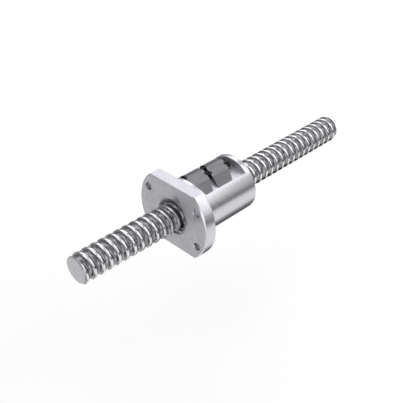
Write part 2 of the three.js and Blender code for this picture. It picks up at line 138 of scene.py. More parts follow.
def lathe(name, profile, n=128, close=True, about=None):
    """Turn a closed profile of (x, r) about the X axis, or about Z at about=(x, y) with a profile of (z, r)."""
    verts, faces, idx = [], [], []
    for x, r in profile:
        if r < 1e-6:
            idx.append([len(verts)])
            verts.append((x, 0, 0))
        else:
            row = []
            for k in range(n):
                a = 2 * math.pi * k / n
                row.append(len(verts))
                verts.append((x, r * math.cos(a), r * math.sin(a)))
            idx.append(row)
    m = len(profile)
    pairs = [(i, i + 1) for i in range(m - 1)]
    if profile[0][1] > 1e-6 and profile[-1][1] > 1e-6:
        pairs.append((m - 1, 0))
    for i, j in pairs:
        a, b = idx[i], idx[j]
        if len(a) == 1 and len(b) == 1:
            continue
        for k in range(n):
            k2 = (k + 1) % n
            if len(a) == 1:
                faces.append((a[0], b[k], b[k2]))
            elif len(b) == 1:
                faces.append((a[k], b[0], a[k2]))
            else:
                faces.append((a[k], b[k], b[k2], a[k2]))
    if about is not None:
        ax, ay = about
        verts = [(ax + y, ay + z, x) for x, y, z in verts]
    return mesh_obj(name, verts, faces)


def prism(name, poly, axis, lo, hi, shear=None):
    """Extrude a polygon. axis 'y': points are (x, z). axis 'x': (y, z). axis 'z': (x, y). shear: x += shear[0] + SKEW*y."""
    n = len(poly)
    verts = []
    for t in (lo, hi):
        for a, b in poly:
            p = {"x": (t, a, b), "y": (a, t, b), "z": (a, b, t)}[axis]
            verts.append(p)
    if shear is not None:
        verts = [(x + shear + SKEW * y, y, z) for x, y, z in verts]
    faces = [tuple(range(n)), tuple(range(2 * n - 1, n - 1, -1))]
    faces += [(i, (i + 1) % n, n + (i + 1) % n, n + i) for i in range(n)]
    return mesh_obj(name, verts, faces)


def disc_pts(cx, cy, r, n, phase=0.0):
    return [(cx + r * math.cos(2 * math.pi * k / n + phase), cy + r * math.sin(2 * math.pi * k / n + phase)) for k in range(n)]


def sweep(name, rings, closed_ends=True, closed_loop=False):
    n = len(rings[0])
    verts = [p for r in rings for p in r]
    faces = []
    m = len(rings)
    for i in range(m if closed_loop else m - 1):
        j = (i + 1) % m
        for k in range(n):
            k2 = (k + 1) % n
            faces.append((i * n + k, i * n + k2, j * n + k2, j * n + k))
    if closed_ends and not closed_loop:
        faces.append(tuple(range(n)))
        faces.append(tuple((m - 1) * n + k for k in range(n - 1, -1, -1)))
    return mesh_obj(name, verts, faces)


def arc(cx, cy, r, a0, a1, n):
    return [(cx + r * math.cos(math.radians(a0 + (a1 - a0) * i / n)), cy + r * math.sin(math.radians(a0 + (a1 - a0) * i / n))) for i in range(n + 1)]


# ---------------------------------------------------------------- materials
def new_mat(name):
    m = bpy.data.materials.new(name)
    m.use_nodes = True
    nt = m.node_tree
    bsdf = nt.nodes["Principled BSDF"]
    return m, nt, bsdf


def steel(name, color, rough, metal=1.0, tint=0.10, rough_var=0.10, mottle_scale=220.0, bump=0.0, grain=None, spec=0.5,
          dark_mottle=0.0, dark_mottle_scale=60.0, fine=0.0, fine_scale=2600.0):
    """Metal with cloudy colour and roughness, a fine speckle, and tool marks that run round or along an axis.
    grain: ('rings_x', scale, depth) | ('along_x', scale, depth) | ('plane_x', scale, depth)"""
    m, nt, b = new_mat(name)
    N, L = nt.nodes, nt.links
    tc = N.new("ShaderNodeTexCoord")
    n1 = N.new("ShaderNodeTexNoise")
    n1.inputs["Scale"].default_value = mottle_scale
    n1.inputs["Detail"].default_value = 5
    n1.inputs["Roughness"].default_value = 0.6
    L.new(tc.outputs["Object"], n1.inputs["Vector"])
    ramp = N.new("ShaderNodeValToRGB")
    lo = [max(0.0, c * (1 - tint)) for c in color]
    hi = [min(1.0, c * (1 + tint)) for c in color]
    ramp.color_ramp.elements[0].position = 0.32
    ramp.color_ramp.elements[0].color = (*lo, 1)
    ramp.color_ramp.elements[1].position = 0.68
    ramp.color_ramp.elements[1].color = (*hi, 1)
    L.new(n1.outputs["Fac"], ramp.inputs["Fac"])
    col = ramp.outputs["Color"]
    # Random dark patches multiplied into the base colour.
    if dark_mottle > 0:
        n3 = N.new("ShaderNodeTexNoise")
        n3.inputs["Scale"].default_value = dark_mottle_scale
        n3.inputs["Detail"].default_value = 8
        n3.inputs["Roughness"].default_value = 0.7
        L.new(tc.outputs["Object"], n3.inputs["Vector"])
        r3 = N.new("ShaderNodeValToRGB")
        r3.color_ramp.elements[0].position = 0.42
        r3.color_ramp.elements[0].color = (1, 1, 1, 1)
        r3.color_ramp.elements[1].position = 0.62
        r3.color_ramp.elements[1].color = (1 - dark_mottle, 1 - dark_mottle, 1 - dark_mottle, 1)
        L.new(n3.outputs["Fac"], r3.inputs["Fac"])
        mx = N.new("ShaderNodeMix")
        mx.data_type = "RGBA"
        mx.blend_type = "MULTIPLY"
        mx.inputs["Factor"].default_value = 1.0
        L.new(col, mx.inputs["A"])
        L.new(r3.outputs["Color"], mx.inputs["B"])
        col = mx.outputs["Result"]
    L.new(col, b.inputs["Base Color"])
    b.inputs["Metallic"].default_value = metal
    b.inputs["Specular IOR Level"].default_value = spec
    n2 = N.new("ShaderNodeTexNoise")
    n2.inputs["Scale"].default_value = mottle_scale * 2.3
    n2.inputs["Detail"].default_value = 3
    L.new(tc.outputs["Object"], n2.inputs["Vector"])
    mr = N.new("ShaderNodeMapRange")
    mr.inputs["From Min"].default_value = 0.3
    mr.inputs["From Max"].default_value = 0.7
    mr.inputs["To Min"].default_value = max(0.02, rough - rough_var)
    mr.inputs["To Max"].default_value = min(1.0, rough + rough_var)
    L.new(n2.outputs["Fac"], mr.inputs["Value"])
    L.new(mr.outputs["Result"], b.inputs["Roughness"])
    height = None
    if grain:
        kind, scale, depth = grain
        mp = N.new("ShaderNodeMapping")
        L.new(tc.outputs["Object"], mp.inputs["Vector"])
        g = N.new("ShaderNodeTexNoise")
        g.inputs["Detail"].default_value = 2
        if kind == "rings_x":      # turned on a lathe: marks go round the X axis
            mp.inputs["Scale"].default_value = (scale, scale * 0.02, scale * 0.02)
            g.inputs["Scale"].default_value = 1.0
            L.new(mp.outputs["Vector"], g.inputs["Vector"])
        elif kind == "along_x":
            mp.inputs["Scale"].default_value = (scale * 0.02, scale, scale)
            g.inputs["Scale"].default_value = 1.0
            L.new(mp.outputs["Vector"], g.inputs["Vector"])
        else:                      # faced on a lathe: marks go by the distance from the X axis
            sp = N.new("ShaderNodeSeparateXYZ")
            L.new(tc.outputs["Object"], sp.inputs["Vector"])
            cb = N.new("ShaderNodeCombineXYZ")
            L.new(sp.outputs["Y"], cb.inputs["X"])
            L.new(sp.outputs["Z"], cb.inputs["Y"])
            ln = N.new("ShaderNodeVectorMath")
            ln.operation = "LENGTH"
            L.new(cb.outputs["Vector"], ln.inputs[0])
            ml = N.new("ShaderNodeMath")
            ml.operation = "MULTIPLY"
            ml.inputs[1].default_value = scale
            L.new(ln.outputs["Value"], ml.inputs[0])
            g.noise_dimensions = "1D"
            g.inputs["Scale"].default_value = 1.0
            L.new(ml.outputs["Value"], g.inputs["W"])
        bp = N.new("ShaderNodeBump")
        bp.inputs["Strength"].default_value = 1.0
        bp.inputs["Distance"].default_value = depth * MM
        L.new(g.outputs["Fac"], bp.inputs["Height"])
        height = bp
    if fine > 0:
        f = N.new("ShaderNodeTexNoise")
        f.inputs["Scale"].default_value = fine_scale
        f.inputs["Detail"].default_value = 3
        L.new(tc.outputs["Object"], f.inputs["Vector"])
        bp2 = N.new("ShaderNodeBump")
        bp2.inputs["Strength"].default_value = 1.0
        bp2.inputs["Distance"].default_value = fine * MM
        L.new(f.outputs["Fac"], bp2.inputs["Height"])
        if height:
            L.new(height.outputs["Normal"], bp2.inputs["Normal"])
        height = bp2
    if height:
        L.new(height.outputs["Normal"], b.inputs["Normal"])
    return m


M_LAND = steel("screw_land_ground", (0.74, 0.745, 0.76), 0.20, tint=0.06, rough_var=0.06, grain=("rings_x", 4200, 0.0035))
# The groove is the same ground steel as the land, given about half its colour and strong random dark patches: painted
# shade in the hollow of the thread groove.
M_GROOVE_PAINTED_SHADE = steel("screw_groove_ground_painted_shade", (0.39, 0.39, 0.40), 0.30, tint=0.30, rough_var=0.10, mottle_scale=420, dark_mottle=0.62,
                 dark_mottle_scale=230, fine=0.014, fine_scale=900)
M_END = steel("screw_end_cut", (0.50, 0.505, 0.52), 0.40, metal=0.6, grain=("plane_x", 5200, 0.006), tint=0.08)
M_NUT_FACE = steel("nut_faced_steel", (0.56, 0.565, 0.595), 0.62, metal=0.7, tint=0.03, rough_var=0.05, grain=("plane_x", 4200, 0.003), fine=0.001)
M_NUT_TURNED = steel("nut_turned_steel", (0.64, 0.64, 0.67), 0.30, tint=0.02, rough_var=0.03, grain=("rings_x", 2600, 0.0012))
M_NUT_MILLED = steel("nut_milled_steel", (0.60, 0.59, 0.635), 0.40, metal=0.72, tint=0.05, rough_var=0.06, grain=("along_x", 2600, 0.004), fine=0.001)
M_NUT_BORE = steel("nut_bore_steel", (0.40, 0.40, 0.42), 0.35, tint=0.1, rough_var=0.08, grain=("rings_x", 2400, 0.006))
M_COVER = steel("cover_dark_sheet", (0.195, 0.19, 0.205), 0.44, metal=0.8, tint=0.09, rough_var=0.08, mottle_scale=160, fine=0.003, fine_scale=2200)
M_TUBE = steel("tube_bright_steel", (0.70, 0.70, 0.72), 0.20, tint=0.05, rough_var=0.05, fine=0.001)
M_BALL = steel("ball_polished_steel", (0.78, 0.79, 0.81), 0.07, tint=0.02, rough_var=0.03)
M_BLACK = steel("screw_black_oxide", (0.022, 0.022, 0.026), 0.42, tint=0.25, rough_var=0.1, mottle_scale=500, metal=0.9, fine=0.004)
M_SPRING = steel("spring_steel_oiled", (0.30, 0.30, 0.315), 0.32, tint=0.12, rough_var=0.08, fine=0.002)
M_WIPER = steel("wiper_plastic", (0.27, 0.27, 0.275), 0.5, metal=0.0, tint=0.03, rough_var=0.06, fine=0.004)

# ---------------------------------------------------------------- screw shaft
SEG = 72
groove, ncut = [], 14
edge_r = 0.35                                     # small radius where groove meets land
a_edge = 68.0
for i in range(ncut + 1):
    a = -a_edge + 2 * a_edge * i / ncut
    groove.append((GROOVE_R * math.sin(math.radians(a)), BALL_R_C - GROOVE_R * math.cos(math.radians(a))))
gx0, gr0 = groove[-1]
land = [(gx0 + 0.44, gr0 + 0.14), (gx0 + 0.84, SCREW_R - 0.07), (4.2, SCREW_R), (5.8, SCREW_R)]
# (the land runs from this groove's upper corner to the next groove's lower corner, a lead away)
land += [(LEAD - gx0 - 0.84, SCREW_R - 0.07), (LEAD - gx0 - 0.44, gr0 + 0.14)]
prof = groove + land
# faces not flagged as land take the darker groove steel, the painted shade in the thread groove
is_land = [False] * (len(groove) - 1) + [False, True, True, True, True, True, False][: len(land) + 1]


def threaded(name, prof, flags, x_start, x_end, seg, mats, end_mat=0):
    n = len(prof)
    first = math.floor((x_start - THREAD_X0) / LEAD * seg)
    count = math.ceil((x_end - x_start) / LEAD * seg) + seg
    verts, faces, fm = [], [], []
    for i in range(count + 1):
        a = 2 * math.pi * ((first + i) % seg) / seg
        xc = THREAD_X0 + LEAD * (first + i) / seg
        c, s = math.cos(a), math.sin(a)
        for x, r in prof:
            verts.append((xc + x, r * c, r * s))
    at = lambda i, k: i * n + k
    for i in range(count):
        for k in range(n - 1):
            faces.append((at(i, k), at(i, k + 1), at(i + 1, k + 1), at(i + 1, k)))
            fm.append(1 if flags[k] else 0)
        if i + seg < count:
            faces.append((at(i, n - 1), at(i + seg, 0), at(i + seg + 1, 0), at(i + 1, n - 1)))
            fm.append(1 if flags[n - 1] else 0)
    loops = [[at(i, 0) for i in range(seg + 1)] + [at(0, k) for k in range(n - 1, 0, -1)],
             [at(i, n - 1) for i in range(count, count - seg - 1, -1)] + [at(count, k) for k in range(n - 1)]]
    for x, loop in zip((x_start - 2 * LEAD, x_end + 4 * LEAD), loops):
        tip = len(verts)
        verts.append((x, 0, 0))
        for i, q in enumerate(loop):
            faces.append((tip, q, loop[(i + 1) % len(loop)]))
            fm.append(end_mat)
    return mesh_obj(name, verts, faces, mats, fm)


half = SCREW_LEN / 2
shaft = threaded("screw_shaft_fine", prof, is_land, -half - 6, half + 6, SEG, [M_GROOVE_PAINTED_SHADE, M_LAND, M_END], 2)
blank = lathe("shaft_blank", [(-half, 0), (-half, SCREW_R - 1.5), (-half + 3, SCREW_R + 1.5), (half - 3, SCREW_R + 1.5),
                              (half, SCREW_R - 1.5), (half, 0)], 96)
for m in (M_GROOVE_PAINTED_SHADE, M_LAND, M_END):
    blank.data.materials.append(m)
blank.data.polygons.foreach_set("material_index", [2] * len(blank.data.polygons))
boolean(shaft, "INTERSECT", [blank])
tidy(shaft, 34)

# ---------------------------------------------------------------- nut body
NUT_MATS = [M_NUT_TURNED, M_NUT_FACE, M_NUT_MILLED, M_NUT_BORE]


def flange_outline(R, F, na=44, nf=14):
    """Half-turn symmetric outline in (y, z): round rim with flats at z = +-F."""
    c = math.degrees(math.asin(F / R))
    pts = arc(0, 0, R, -c, c, na)
    y = R * math.cos(math.radians(c))
    pts += [(y - 2 * y * i / nf, F) for i in range(1, nf)]
    pts += arc(0, 0, R, 180 - c, 180 + c, na)
    pts += [(-y + 2 * y * i / nf, -F) for i in range(1, nf)]
    return pts


stations = []
for x, dr, df in [(NUT_FRONT, 1.2, 0.55), (NUT_FRONT + 0.55, 0.65, 0.0), (NUT_FRONT + 1.2, 0, 0),
                  (FLANGE_BACK - 1.2, 0, 0), (FLANGE_BACK - 0.55, 0.65, 0.0), (FLANGE_BACK, 1.2, 0.55)]:
    stations.append([(x, y, z) for y, z in flange_outline(FLANGE_R - dr, FLANGE_FLAT - df)])
nut = sweep("nut_body_fine", stations)
fil = [(FLANGE_BACK - 1.0, 34.1)] + [(FLANGE_BACK + 0.6 - 0.6 * math.cos(math.radians(t)), 34.1 - 0.6 * math.sin(math.radians(t))) for t in (0, 30, 60, 90)]
barrel = lathe("barrel", [(NUT_FRONT + 3, 0), (NUT_FRONT + 3, 30), (FLANGE_BACK - 1.0, 30)] + fil +
               [(NUT_REAR - 1.3, BODY_R), (NUT_REAR - 0.55, BODY_R - 0.22), (NUT_REAR - 0.1, BODY_R - 0.9), (NUT_REAR, BODY_R - 1.3), (NUT_REAR, 0)], 192)
boolean(nut, "UNION", [barrel])
cutters = []
cutters.append(lathe("seal_bores", [(NUT_FRONT - 1, 0), (NUT_FRONT - 1, SEAL_BORE_R + 1.8), (NUT_FRONT + 0.8, SEAL_BORE_R),
                                    (NUT_FRONT + 1.1, SEAL_BORE_R), (NUT_FRONT + 1.1, 22.6), (NUT_FRONT + 2.9, 22.6), (NUT_FRONT + 2.9, SEAL_BORE_R),
                                    (NUT_FRONT + SEAL_DEPTH, SEAL_BORE_R), (NUT_FRONT + SEAL_DEPTH, BORE_R), (NUT_REAR - SEAL_DEPTH, BORE_R),
                                    (NUT_REAR - SEAL_DEPTH, SEAL_BORE_R), (NUT_REAR - 2.9, SEAL_BORE_R), (NUT_REAR - 2.9, 22.6), (NUT_REAR - 1.1, 22.6),
                                    (NUT_REAR - 1.1, SEAL_BORE_R), (NUT_REAR - 0.8, SEAL_BORE_R), (NUT_REAR + 1, SEAL_BORE_R + 1.8), (NUT_REAR + 1, 0)], 128))
for deg in (30, 150, 210, 330):
    hy, hz = 42.5 * math.cos(math.radians(deg)), 42.5 * math.sin(math.radians(deg))
    ho = lathe("bolt_hole", [(NUT_FRONT - 1, 0), (NUT_FRONT - 1, 6.1), (NUT_FRONT + 0.6, 4.5), (FLANGE_BACK - 0.6, 4.5), (FLANGE_BACK + 1, 6.1), (FLANGE_BACK + 1, 0)], 48)
    ho.data.transform(Matrix.Translation((0, hy * MM, hz * MM)))
    cutters.append(ho)
top = 45
cutters.append(prism("pocket", [(POCKET_X0, FLOOR_Z), (POCKET_X1, FLOOR_Z), (POCKET_X1, top), (POCKET_X0 - LEAN * (top - FLOOR_Z), top)], "y", -45, 45))


def bez(p0, p1, p2, n):
    return [((1 - t) ** 2 * p0[0] + 2 * t * (1 - t) * p1[0] + t * t * p2[0], (1 - t) ** 2 * p0[1] + 2 * t * (1 - t) * p1[1] + t * t * p2[1])
            for t in [i / n for i in range(1, n + 1)]]


def return_path(xc, z0, n=12):
    r = BALL_R_C
    yz = [(-r, z0)] + [(-r, z0 + (TUBE_BEND - z0) * i / 3) for i in (1, 2, 3)]
    yz += bez((-r, TUBE_BEND), (-r, TUBE_TOP), (-4, TUBE_TOP), n)
    yz += [(-4 + 8 * i / 4, TUBE_TOP) for i in (1, 2, 3, 4)]
    yz += bez((4, TUBE_TOP), (r, TUBE_TOP), (r, TUBE_BEND), n)
    yz += [(r, TUBE_BEND + (z0 - TUBE_BEND) * i / 3) for i in (1, 2, 3)]
    return [Vector((xc + SKEW * y, y, z)) for y, z in yz]


def rings_along(pts, r, sides):
    across = Vector((-1, SKEW, 0)).normalized()
    out = []
    for i, p in enumerate(pts):
        t = Vector((0, 0, 0))
        if i > 0:
            t += (p - pts[i - 1]).normalized()
        if i + 1 < len(pts):
            t += (pts[i + 1] - p).normalized()
        t.normalize()
        side = (across - t * across.dot(t)).normalized()
        up = t.cross(side)
        out.append([tuple(p + side * (r * math.cos(2 * math.pi * k / sides)) + up * (r * math.sin(2 * math.pi * k / sides))) for k in range(sides)])
    return out


for cname, cx in CIRCUITS:
    cutters.append(sweep("channel", rings_along(return_path(cx, 1.0), TUBE_R + 0.45, 32)))
# internal thread
gp = [(-3.0, 15.6), (3.0, 15.6), (3.0, 17.4)] + [(3.35 * math.sin(math.radians(a)), BALL_R_C + 3.35 * math.cos(math.radians(a))) for a in (62, 45, 30, 15, 0, -15, -30, -45, -62)] + [(-3.0, 17.4)]
seg_n = 48
f0 = math.floor((CIRCUITS[0][1] - 14 - THREAD_X0) / LEAD * seg_n)
f1 = math.ceil((CIRCUITS[1][1] + 14 - THREAD_X0) / LEAD * seg_n)
rg = []
for i in range(f0, f1 + 1):
    a = 2 * math.pi * (i % seg_n) / seg_n
    xc = THREAD_X0 + LEAD * i / seg_n
    rg.append([(xc + x, r * math.cos(a), r * math.sin(a)) for x, r in gp])
cutters.append(sweep("nut_groove", rg))
for nm, sx, sy in SCREWS:
    cutters.append(lathe("tapped", [(19.2, 0), (19.2, 1.95), (FLOOR_Z - 0.4, 1.95), (FLOOR_Z + 1.2, 3.55), (FLOOR_Z + 1.2, 0)], 32, about=(sx, sy)))
cutters.append(lathe("relief", [(FLOOR_Z, 0), (FLOOR_Z, 4.3), (40, 4.3), (40, 0)], 64, about=(SCREWS[1][1], SCREWS[1][2])))
cutters.append(lathe("port", [(-FLANGE_FLAT - 1, 0), (-FLANGE_FLAT - 1, 4.4), (-FLANGE_FLAT + 0.4, 3.0), (-FLANGE_FLAT + 11, 3.0), (-FLANGE_FLAT + 12, 1.5), (-15, 1.5), (-15, 0)], 40, about=(PORT_X, 0)))
boolean(nut, "DIFFERENCE", cutters)
paint(nut, *NUT_MATS)
tidy(nut, 28)
for p in nut.data.polygons:
    c, n = p.center / MM, p.normal
    r = math.hypot(c.y, c.z)
    if r < 22.7 and abs(n.x) < 0.9 and c.z < 22.5 or r < 20.9:
        p.material_index = 3
    elif abs(n.x) > 0.9:
        p.material_index = 2 if (POCKET_X0 - 8 < c.x < POCKET_X1 + 1) else 1
    elif c.x > FLANGE_BACK + 0.2 and c.z > FLOOR_Z - 0.1 and r < BODY_R - 0.3 and c.x < POCKET_X1 + 0.1:
        p.material_index = 2
    elif c.x < FLANGE_BACK and abs(n.z) > 0.95 and abs(c.z) > FLANGE_FLAT - 0.6:
        p.material_index = 2
    else:
        p.material_index = 0
    if p.material_index in (1, 2):                # faced and milled faces are flat
        p.use_smooth = False

# ---------------------------------------------------------------- wipers
for nm, x0, x1 in (("wiper_seal_front", NUT_FRONT + 3.1, NUT_FRONT + 8.1), ("wiper_seal_rear", NUT_REAR - 8.1, NUT_REAR - 3.1)):
    s = 1 if x0 < -50 else -1
    a, b = (x0, x1) if s == 1 else (x1, x0)
    P = [(a + 0.5 * s, 20.6), (a, 20.1), (a, 18.6), (a + 0.7 * s, 18.2), (a + 0.7 * s, 17.5), (a, 17.1), (a + 0.1 * s, 16.6), (a + 0.6 * s, 16.45),
         (a + 1.2 * s, 16.7), (b - 0.5 * s, 16.9), (b, 17.3), (b, 20.2), (b - 0.4 * s, 20.6)]
    w = lathe(nm + "_fine", P, 128)
    paint(w, M_WIPER)
    tidy(w, 38)

# ---------------------------------------------------------------- retaining rings
for nm, x in (("wiper_retaining_ring_front", NUT_FRONT + 2), ("wiper_retaining_ring_rear", NUT_REAR - 2)):
    gap, lug_a = math.radians(13), math.radians(27)
    f, t = -math.pi / 2 + gap, 3 * math.pi / 2 - gap
    pts = [(22.3 * math.cos(f + (t - f) * i / 120), 22.3 * math.sin(f + (t - f) * i / 120)) for i in range(121)]
    da = lug_a - gap
    for k in range(13):
        u = k / 12
        pts.append(((17.6 + 0.5 * (2 * u - 1) ** 2) * math.cos(t - da * u), (17.6 + 0.5 * (2 * u - 1) ** 2) * math.sin(t - da * u)))
    for k in range(1, 100):
        ang = (t - da) + ((f + da) - (t - da)) * k / 100
        fade = min(1.0, k / 6.0, (100 - k) / 6.0)
        rr = 18.1 + (19.7 - 18.1) * (fade * fade * (3 - 2 * fade))
        pts.append((rr * math.cos(ang), rr * math.sin(ang)))
    for k in range(13):
        u = k / 12
        pts.append(((17.6 + 0.5 * (2 * u - 1) ** 2) * math.cos(f + da * (1 - u)), (17.6 + 0.5 * (2 * u - 1) ** 2) * math.sin(f + da * (1 - u))))
    rgo = prism(nm + "_fine", pts, "x", x - 0.6, x + 0.6)
    eyes = []
    for ang in (f + math.radians(7), t - math.radians(7)):
        eyes.append(prism("eye", disc_pts(19.6 * math.cos(ang), 19.6 * math.sin(ang), 0.9, 24), "x", x - 2, x + 2))
    boolean(rgo, "DIFFERENCE", eyes)
    paint(rgo, M_SPRING)
    tidy(rgo, 30)
    bevel(rgo, 0.12, 2)

# ---------------------------------------------------------------- port plug
hexr = 1.5 / math.cos(math.pi / 6)
zb = -FLANGE_FLAT + 0.6
plug = lathe("lube_port_plug_fine", [(zb, 0), (zb, 2.2), (zb + 0.5, 2.7)] +
             [(zb + 0.5 + i * 0.35, 2.7 if i % 2 == 0 else 2.45) for i in range(1, 18)] + [(zb + 6.6, 2.4), (zb + 7.0, 1.9), (zb + 7.0, 0)], 40, about=(PORT_X, 0))
hx = prism("hex", disc_pts(PORT_X, 0, hexr, 6), "z", zb - 1, zb + 3.0)
boolean(plug, "DIFFERENCE", [hx])
paint(plug, M_BLACK)
tidy(plug, 30)

# ---------------------------------------------------------------- return tubes
for cname, cx in CIRCUITS:
    path = return_path(cx, TUBE_END, 16)
    outer = rings_along(path, TUBE_R, 40)
    inner = rings_along(path, TUBE_BORE, 40)
    n = 40
    verts = [p for r in outer for p in r] + [p for r in inner for p in r]
    m = len(path)
    off = m * n
    faces = []
    for i in range(m - 1):
        for k in range(n):
            k2 = (k + 1) % n
            faces.append((i * n + k, i * n + k2, (i + 1) * n + k2, (i + 1) * n + k))
            faces.append((off + i * n + k, off + (i + 1) * n + k, off + (i + 1) * n + k2, off + i * n + k2))
    for i in (0, m - 1):
        for k in range(n):
            k2 = (k + 1) % n
            faces.append((i * n + k, i * n + k2, off + i * n + k2, off + i * n + k))
    tb = mesh_obj("return_tube_%s_fine" % cname, verts, faces, [M_TUBE])
    tidy(tb, 40)

# ---------------------------------------------------------------- balls
TURN_LEN = math.hypot(2 * math.pi * BALL_R_C, LEAD)


def ball_mesh(name, centres, r=BALL_R, nu=24, nv=12):
    verts, faces = [], []
    for c in centres:
        o = len(verts)
        verts.append((c[0], c[1], c[2] + r))
        for j in range(1, nv):
            th = math.pi * j / nv
            for i in range(nu):
                a = 2 * math.pi * i / nu
                verts.append((c[0] + r * math.sin(th) * math.cos(a), c[1] + r * math.sin(th) * math.sin(a), c[2] + r * math.cos(th)))
        verts.append((c[0], c[1], c[2] - r))
        last = len(verts) - 1
        for i in range(nu):
            i2 = (i + 1) % nu
            faces.append((o, o + 1 + i, o + 1 + i2))
            faces.append((last, last - nu + i2, last - nu + i))
            for j in range(nv - 2):
                a, b = o + 1 + j * nu, o + 1 + (j + 1) * nu
                faces.append((a + i, b + i, b + i2, a + i2))
    ob = mesh_obj(name, verts, faces, [M_BALL])
    for p in ob.data.polygons:
        p.use_smooth = True
    return ob


for cname, cx in CIRCUITS:
    length = TURNS * TURN_LEN - 4
    cnt = int(length // 6.35)
    cs = []
    for i in range(cnt):
        t = ((i + 0.5) * length / cnt + 2) / TURN_LEN
        a = math.pi + 2 * math.pi * t
        cs.append((cx - TURNS * LEAD / 2 + LEAD * t, BALL_R_C * math.cos(a), BALL_R_C * math.sin(a)))
    ball_mesh("ball_row_%s_loaded_fine" % cname, cs)
    path = return_path(cx, 2.4, 60)
    acc = [0.0]
    for i in range(1, len(path)):
        acc.append(acc[-1] + (path[i] - path[i - 1]).length)
    cnt = int(acc[-1] // 6.35)
    cs = []
    for i in range(cnt):
        s = (i + 0.5) * acc[-1] / cnt
        j = max(k for k in range(len(acc)) if acc[k] <= s)
        j = min(j, len(path) - 2)
        u = (s - acc[j]) / (acc[j + 1] - acc[j])
        cs.append(tuple(path[j].lerp(path[j + 1], u)))
    ball_mesh("ball_row_%s_return_fine" % cname, cs, r=3.1)

# ---------------------------------------------------------------- covers
slope = math.atan2(TOP_Z - FOOT_Z, FOOT_Y - EDGE_Y)
sdeg = math.degrees(slope)
RB = 3.0                                          # outside bend radius


def bent_path(offset):
    """The sheet's outline from the -Y foot to the +Y foot, offset inwards."""
    d = RB * math.tan(slope / 2)
    # bend centre of the +Y corner
    cy, cz = EDGE_Y - d, TOP_Z - RB
    r = RB - offset
    right = arc(cy, cz, r, 90, 90 - sdeg, 8)
    nx, nz = math.sin(slope), math.cos(slope)
    # slope line through the bend's end down to the foot height
    ex, ez = right[-1]
    run = (ez - FOOT_Z) / math.tan(slope)
    foot = (ex + run, FOOT_Z)
    rp = right + [foot]
    lp = [(-y, z) for y, z in reversed(rp)]
    return lp + rp


outer_p, inner_p = bent_path(0), bent_path(SHEET)
for cname, cx in CIRCUITS:
    sec = outer_p + list(reversed(inner_p))
    n = len(sec)
    shell = prism("return_cover_%s_fine" % cname, sec, "x", -COVER_TOP_HALF, COVER_TOP_HALF, shear=cx)
    edge = lambda z: COVER_HALF + (COVER_TOP_HALF - COVER_HALF) * (z - FOOT_Z) / (TOP_Z - FOOT_Z)
    flare = [prism("flare", [(sg * edge(20), 20), (sg * edge(36), 36), (sg * 20, 36), (sg * 20, 20)], "y", -30, 30, shear=cx) for sg in (1, -1)]
    notch = [lathe("notch", [(FLOOR_Z, 0), (FLOOR_Z, 4.3), (40, 4.3), (40, 0)], 56, about=(sx, sy)) for nm, sx, sy in SCREWS]
    boolean(shell, "DIFFERENCE", flare + notch)
    for sg, ey in EARS:
        e = sg * COVER_HALF
        # strap and foot as one bent sheet: a profile in (s, z), extruded across the ear
        ri = 0.7
        zf, zt = FOOT_Z, FOOT_Z + SHEET
        far = EAR_REACH + 3.5
        prof_ear = [(-SHEET, 40.0), (-SHEET, zf + 2.0)]
        prof_ear += [(-SHEET + 2.0 - 2.0 * math.cos(math.radians(a)), zf + 2.0 - 2.0 * math.sin(math.radians(a))) for a in (15, 30, 45, 60, 75)]
        prof_ear += [(-SHEET + 2.0, zf), (far, zf), (far, zt), (ri, zt)]
        prof_ear += [(ri - ri * math.sin(math.radians(a)), zt + ri - ri * math.cos(math.radians(a))) for a in (22.5, 45, 67.5)]
        prof_ear += [(0, zt + ri), (0, 40.0)]
        prof_ear = [(e + sg * s, z) for s, z in prof_ear]
        ear = prism("ear", prof_ear, "y", ey - EAR_W / 2, ey + EAR_W / 2, shear=cx)
        env = prism("env", outer_p, "x", -COVER_HALF - 12, COVER_HALF + 12, shear=cx)
        # rounded tip: keep what is behind the hole's centre or within its circle
        hx_, hy_ = cx + e + sg * EAR_REACH + SKEW * ey, ey
        tip = disc_pts(hx_, hy_, 3.5, 56)
        keep = prism("keep", tip, "z", 20, 42)
        back = prism("back", [(e - sg * 3, ey - 6), (e + sg * EAR_REACH, ey - 6), (e + sg * EAR_REACH, ey + 6), (e - sg * 3, ey + 6)], "z", 20, 42, shear=cx)
        boolean(keep, "UNION", [back])
        boolean(ear, "INTERSECT", [env, keep])
        boolean(shell, "UNION", [ear])
    holes = [lathe("hole", [(FLOOR_Z - 1, 0), (FLOOR_Z - 1, 2.1), (FLOOR_Z + 3, 2.1), (FLOOR_Z + 3, 0)], 36, about=(sx, sy)) for nm, sx, sy in SCREWS]
    wall = prism("wall", [(POCKET_X0 + 0.6 + LEAN * 6, FLOOR_Z - 6), (POCKET_X0 + 0.6 - LEAN * 20, FLOOR_Z + 20), (-90, FLOOR_Z + 20), (-90, FLOOR_Z - 6)], "y", -45, 45)
    clear = lathe("clear", [(FLOOR_Z - 1, 0), (FLOOR_Z - 1, 4.0), (41, 4.0), (41, 0)], 56, about=(SCREWS[1][1], SCREWS[1][2]))
    boolean(wall, "DIFFERENCE", [clear])
    boolean(shell, "DIFFERENCE", holes + [wall])
    paint(shell, M_COVER)
    tidy(shell, 30)
    bevel(shell, 0.18, 2, 40)

